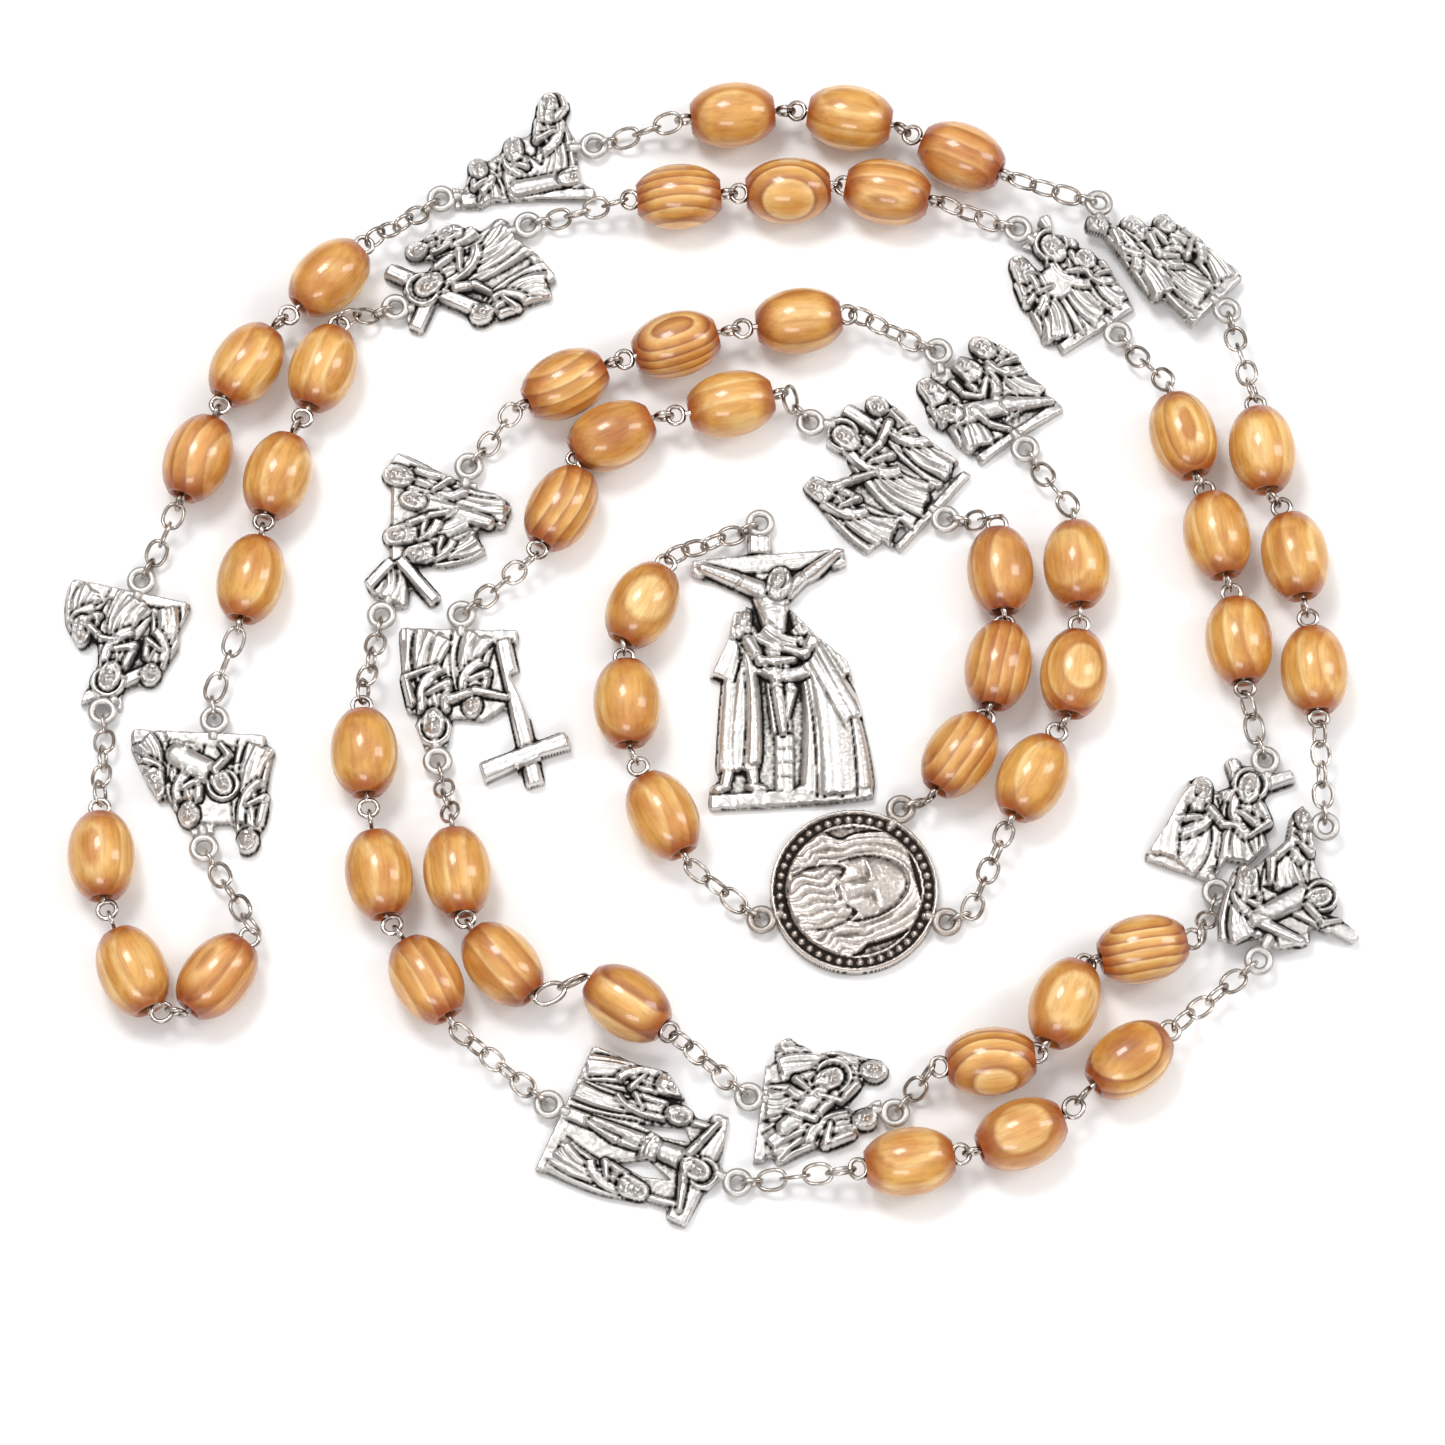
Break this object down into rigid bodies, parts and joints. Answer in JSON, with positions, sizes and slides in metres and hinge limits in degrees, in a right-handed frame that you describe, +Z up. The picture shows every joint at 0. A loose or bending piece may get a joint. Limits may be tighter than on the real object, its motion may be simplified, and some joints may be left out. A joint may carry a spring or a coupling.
{
  "type": "prayer chaplet",
  "caption": "Prayer chaplet of wooden barrel beads on wire links, with cast relief station medals, a round centre medal and a cast crucifix, laid flat in a spiral.",
  "frame": {"origin": "middle of the underside of the whole laid-out chaplet, on the table", "axes": "+Z up from the table, +Y away from the viewer towards the top of the spiral, +X to the right"},
  "size_m": [0.1502, 0.14, 0.0079],
  "materials": {
    "olive_wood": "polished and lacquered olive wood with brown grain streaks",
    "nickel_wire": "bright nickel-plated wire, slightly warm",
    "pewter": "warm pewter-coloured cast metal with dark recesses",
    "antique_silver": "antique silver casting, bright on the high parts and black in the recesses"
  },
  "bodies": {
    "chain": {"strand_a2": "olive_wood", "strand_a3": "olive_wood", "strand_a4": "olive_wood", "strand_a6": "olive_wood", "strand_b2": "olive_wood", "strand_b3": "olive_wood", "strand_b4": "olive_wood", "strand_a7_head": "olive_wood", "wire_a1": "nickel_wire", "wire_b1": "nickel_wire", "wire_a5": "nickel_wire", "wire_b5": "nickel_wire", "wire_b6": "nickel_wire", "wire_b7_head": "nickel_wire"},
    "arm": {"wire_a7_arm": "nickel_wire", "wire_b7_arm": "nickel_wire"},
    "end_run": {"wire_u": "nickel_wire"},
    "centre": {"centre_medal": "pewter"},
    "tail": {"wire_tail": "nickel_wire"},
    "crucifix": {"crucifix": "antique_silver"},
    "station_01": {"station_01": "antique_silver"},
    "station_02": {"station_02": "antique_silver"},
    "station_03": {"station_03": "antique_silver"},
    "station_04": {"station_04": "antique_silver"},
    "station_05": {"station_05": "antique_silver"},
    "station_06": {"station_06": "antique_silver"},
    "station_07": {"station_07": "antique_silver"},
    "station_08": {"station_08": "antique_silver"},
    "station_09": {"station_09": "antique_silver"},
    "station_10": {"station_10": "antique_silver"},
    "station_11": {"station_11": "antique_silver"},
    "station_12": {"station_12": "antique_silver"},
    "station_13": {"station_13": "antique_silver"},
    "station_14": {"station_14": "antique_silver"},
    "bead_a1_1": {"bead_a1_1": "olive_wood"},
    "bead_a1_2": {"bead_a1_2": "olive_wood"},
    "bead_a1_3": {"bead_a1_3": "olive_wood"},
    "bead_b1_1": {"bead_b1_1": "olive_wood"},
    "bead_b1_2": {"bead_b1_2": "olive_wood"},
    "bead_b1_3": {"bead_b1_3": "olive_wood"},
    "bead_a5_1": {"bead_a5_1": "olive_wood"},
    "bead_a5_2": {"bead_a5_2": "olive_wood"},
    "bead_a5_3": {"bead_a5_3": "olive_wood"},
    "bead_b5_1": {"bead_b5_1": "olive_wood"},
    "bead_b5_2": {"bead_b5_2": "olive_wood"},
    "bead_b5_3": {"bead_b5_3": "olive_wood"},
    "bead_b6_1": {"bead_b6_1": "olive_wood"},
    "bead_b6_2": {"bead_b6_2": "olive_wood"},
    "bead_b6_3": {"bead_b6_3": "olive_wood"},
    "bead_b7_1": {"bead_b7_1": "olive_wood"},
    "bead_b7_2": {"bead_b7_2": "olive_wood"},
    "bead_b7_3": {"bead_b7_3": "olive_wood"},
    "bead_a7_2": {"bead_a7_2": "olive_wood"},
    "bead_a7_3": {"bead_a7_3": "olive_wood"},
    "bead_tail_1": {"bead_tail_1": "olive_wood"},
    "bead_tail_2": {"bead_tail_2": "olive_wood"},
    "bead_tail_3": {"bead_tail_3": "olive_wood"},
    "bead_u_1": {"bead_u_1": "olive_wood"},
    "bead_u_2": {"bead_u_2": "olive_wood"},
    "bead_u_3": {"bead_u_3": "olive_wood"}
  },
  "joints": [
    {"name": "arm_fold", "type": "hinge", "parent": "chain", "child": "arm", "pos_m": [-0.04775, 0.02544, 0.004], "axis": [-0.9874, 0.1584, 0], "range_deg": [0, 70]},
    {"name": "centre_lift", "type": "hinge", "parent": "chain", "child": "centre", "pos_m": [0.02374, -0.02043, 0.00125], "axis": [-0.3541, 0.9352, 0], "range_deg": [0, 25]},
    {"name": "crucifix_lift", "type": "hinge", "parent": "tail", "child": "crucifix", "pos_m": [0.00523, 0.01352, 0.00125], "axis": [-1, 0, 0], "range_deg": [0, 12]},
    {"name": "end_fold", "type": "hinge", "parent": "arm", "child": "end_run", "pos_m": [-0.06964, -0.01039, 0.00125], "axis": [-0.6141, 0.7892, 0], "range_deg": [0, 20]},
    {"name": "tail_lift", "type": "hinge", "parent": "centre", "child": "tail", "pos_m": [0.00538, -0.03342, 0.00125], "axis": [0.571, 0.821, 0], "range_deg": [0, 25]},
    {"name": "rock_station_01", "type": "hinge", "parent": "chain", "child": "station_01", "pos_m": [0.02025, 0.02065, 0.00125], "axis": [-0.7921, 0.6104, 0], "range_deg": [-6, 6]},
    {"name": "rock_station_02", "type": "hinge", "parent": "chain", "child": "station_02", "pos_m": [-0.02965, -0.00615, 0.00125], "axis": [-0.1383, -0.9904, 0], "range_deg": [-6, 6]},
    {"name": "rock_station_03", "type": "hinge", "parent": "chain", "child": "station_03", "pos_m": [0.01325, -0.05595, 0.00125], "axis": [0.9934, -0.1144, 0], "range_deg": [-6, 6]},
    {"name": "rock_station_04", "type": "hinge", "parent": "chain", "child": "station_04", "pos_m": [0.06165, -0.02295, 0.00125], "axis": [0.3582, 0.9336, 0], "range_deg": [0, 6]},
    {"name": "rock_station_05", "type": "hinge", "parent": "chain", "child": "station_05", "pos_m": [0.043, 0.04465, 0.00125], "axis": [-0.6517, 0.7585, 0], "range_deg": [0, 6]},
    {"name": "rock_station_06", "type": "hinge", "parent": "chain", "child": "station_06", "pos_m": [-0.029, 0.0466, 0.00125], "axis": [-0.8271, -0.562, 0], "range_deg": [-6, 6]},
    {"name": "rock_station_07", "type": "hinge", "parent": "arm", "child": "station_07", "pos_m": [-0.0572, -0.01785, 0.00125], "axis": [-0.0515, -0.9987, 0], "range_deg": [-6, 6]},
    {"name": "rock_station_08", "type": "hinge", "parent": "arm", "child": "station_08", "pos_m": [-0.0678, -0.00105, 0.00125], "axis": [0.2411, 0.9705, 0], "range_deg": [-6, 6]},
    {"name": "rock_station_09", "type": "hinge", "parent": "chain", "child": "station_09", "pos_m": [-0.0225, 0.05875, 0.00125], "axis": [0.9351, 0.3545, 0], "range_deg": [-6, 6]},
    {"name": "rock_station_10", "type": "hinge", "parent": "chain", "child": "station_10", "pos_m": [0.05425, 0.0473, 0.00255], "axis": [0.7337, -0.6795, 0], "range_deg": [-6, 0]},
    {"name": "rock_station_11", "type": "hinge", "parent": "chain", "child": "station_11", "pos_m": [0.06715, -0.0314, 0.00265], "axis": [-0.4517, -0.8922, 0], "range_deg": [-6, 0]},
    {"name": "rock_station_12", "type": "hinge", "parent": "chain", "child": "station_12", "pos_m": [-0.007, -0.06045, 0.00125], "axis": [0.9203, -0.3913, 0], "range_deg": [-6, 6]},
    {"name": "rock_station_13", "type": "hinge", "parent": "chain", "child": "station_13", "pos_m": [-0.03275, 0.01195, 0.00125], "axis": [0.4718, 0.8817, 0], "range_deg": [-6, 6]},
    {"name": "rock_station_14", "type": "hinge", "parent": "chain", "child": "station_14", "pos_m": [0.03255, 0.02955, 0.00125], "axis": [0.6346, -0.7728, 0], "range_deg": [-6, 6]},
    {"name": "spin_bead_a1_1", "type": "hinge", "parent": "chain", "child": "bead_a1_1", "pos_m": [0.0293, -0.0152, 0.004], "axis": [0.5592, 0.829, 0], "continuous": true},
    {"name": "spin_bead_a1_2", "type": "hinge", "parent": "chain", "child": "bead_a1_2", "pos_m": [0.0339, -0.0044, 0.004], "axis": [0.1736, 0.9848, 0], "continuous": true},
    {"name": "spin_bead_a1_3", "type": "hinge", "parent": "chain", "child": "bead_a1_3", "pos_m": [0.0343, 0.0072, 0.004], "axis": [-0.0523, 0.9986, 0], "continuous": true},
    {"name": "spin_bead_b1_1", "type": "hinge", "parent": "chain", "child": "bead_b1_1", "pos_m": [0.0376, -0.018, 0.004], "axis": [0.454, 0.891, 0], "continuous": true},
    {"name": "spin_bead_b1_2", "type": "hinge", "parent": "chain", "child": "bead_b1_2", "pos_m": [0.0426, -0.0054, 0.004], "axis": [0.1392, 0.9903, 0], "continuous": true},
    {"name": "spin_bead_b1_3", "type": "hinge", "parent": "chain", "child": "bead_b1_3", "pos_m": [0.0432, 0.008, 0.004], "axis": [-0.0523, 0.9986, 0], "continuous": true},
    {"name": "spin_bead_a5_1", "type": "hinge", "parent": "chain", "child": "bead_a5_1", "pos_m": [0.0618, -0.0014, 0.004], "axis": [-0.0872, 0.9962, 0], "continuous": true},
    {"name": "spin_bead_a5_2", "type": "hinge", "parent": "chain", "child": "bead_a5_2", "pos_m": [0.0596, 0.0116, 0.004], "axis": [-0.1736, 0.9848, 0], "continuous": true},
    {"name": "spin_bead_a5_3", "type": "hinge", "parent": "chain", "child": "bead_a5_3", "pos_m": [0.056, 0.024, 0.004], "axis": [-0.2419, 0.9703, 0], "continuous": true},
    {"name": "spin_bead_b5_1", "type": "hinge", "parent": "chain", "child": "bead_b5_1", "pos_m": [0.0704, -0.005, 0.004], "axis": [-0.0523, 0.9986, 0], "continuous": true},
    {"name": "spin_bead_b5_2", "type": "hinge", "parent": "chain", "child": "bead_b5_2", "pos_m": [0.0686, 0.009, 0.004], "axis": [-0.1392, 0.9903, 0], "continuous": true},
    {"name": "spin_bead_b5_3", "type": "hinge", "parent": "chain", "child": "bead_b5_3", "pos_m": [0.0652, 0.0222, 0.004], "axis": [-0.1045, 0.9945, 0], "continuous": true},
    {"name": "spin_bead_b6_1", "type": "hinge", "parent": "chain", "child": "bead_b6_1", "pos_m": [0.0305, 0.0596, 0.004], "axis": [-0.9063, 0.4226, 0], "continuous": true},
    {"name": "spin_bead_b6_2", "type": "hinge", "parent": "chain", "child": "bead_b6_2", "pos_m": [0.0172, 0.0646, 0.004], "axis": [-0.9848, 0.1736, 0], "continuous": true},
    {"name": "spin_bead_b6_3", "type": "hinge", "parent": "chain", "child": "bead_b6_3", "pos_m": [0.0032, 0.065, 0.004], "axis": [-0.9945, -0.1045, 0], "continuous": true},
    {"name": "spin_bead_b7_1", "type": "hinge", "parent": "chain", "child": "bead_b7_1", "pos_m": [-0.0445, 0.044, 0.004], "axis": [-0.6947, -0.7193, 0], "continuous": true},
    {"name": "spin_bead_b7_2", "type": "hinge", "parent": "chain", "child": "bead_b7_2", "pos_m": [-0.054, 0.033, 0.004], "axis": [-0.5299, -0.848, 0], "continuous": true},
    {"name": "spin_bead_b7_3", "type": "hinge", "parent": "arm", "child": "bead_b7_3", "pos_m": [-0.0594, 0.0212, 0.004], "axis": [-0.342, -0.9397, 0], "continuous": true},
    {"name": "spin_bead_a7_2", "type": "hinge", "parent": "arm", "child": "bead_a7_2", "pos_m": [-0.05, 0.019, 0.004], "axis": [-0.2756, -0.9613, 0], "continuous": true},
    {"name": "spin_bead_a7_3", "type": "hinge", "parent": "arm", "child": "bead_a7_3", "pos_m": [-0.0528, 0.0062, 0.004], "axis": [-0.2079, -0.9781, 0], "continuous": true},
    {"name": "spin_bead_tail_1", "type": "hinge", "parent": "tail", "child": "bead_tail_1", "pos_m": [-0.0048, -0.0225, 0.004], "axis": [-0.454, 0.891, 0], "continuous": true},
    {"name": "spin_bead_tail_2", "type": "hinge", "parent": "tail", "child": "bead_tail_2", "pos_m": [-0.009, -0.009, 0.004], "axis": [-0.0523, 0.9986, 0], "continuous": true},
    {"name": "spin_bead_tail_3", "type": "hinge", "parent": "tail", "child": "bead_tail_3", "pos_m": [-0.0073, 0.003, 0.004], "axis": [0.4695, 0.8829, 0], "continuous": true},
    {"name": "spin_bead_u_1", "type": "hinge", "parent": "end_run", "child": "bead_u_1", "pos_m": [-0.069, -0.0274, 0.004], "axis": [0.0698, -0.9976, 0], "continuous": true},
    {"name": "spin_bead_u_2", "type": "hinge", "parent": "end_run", "child": "bead_u_2", "pos_m": [-0.065, -0.041, 0.004], "axis": [0.4067, -0.9135, 0], "continuous": true},
    {"name": "spin_bead_u_3", "type": "hinge", "parent": "end_run", "child": "bead_u_3", "pos_m": [-0.0554, -0.0416, 0.004], "axis": [0.6157, 0.788, 0], "continuous": true}
  ]
}
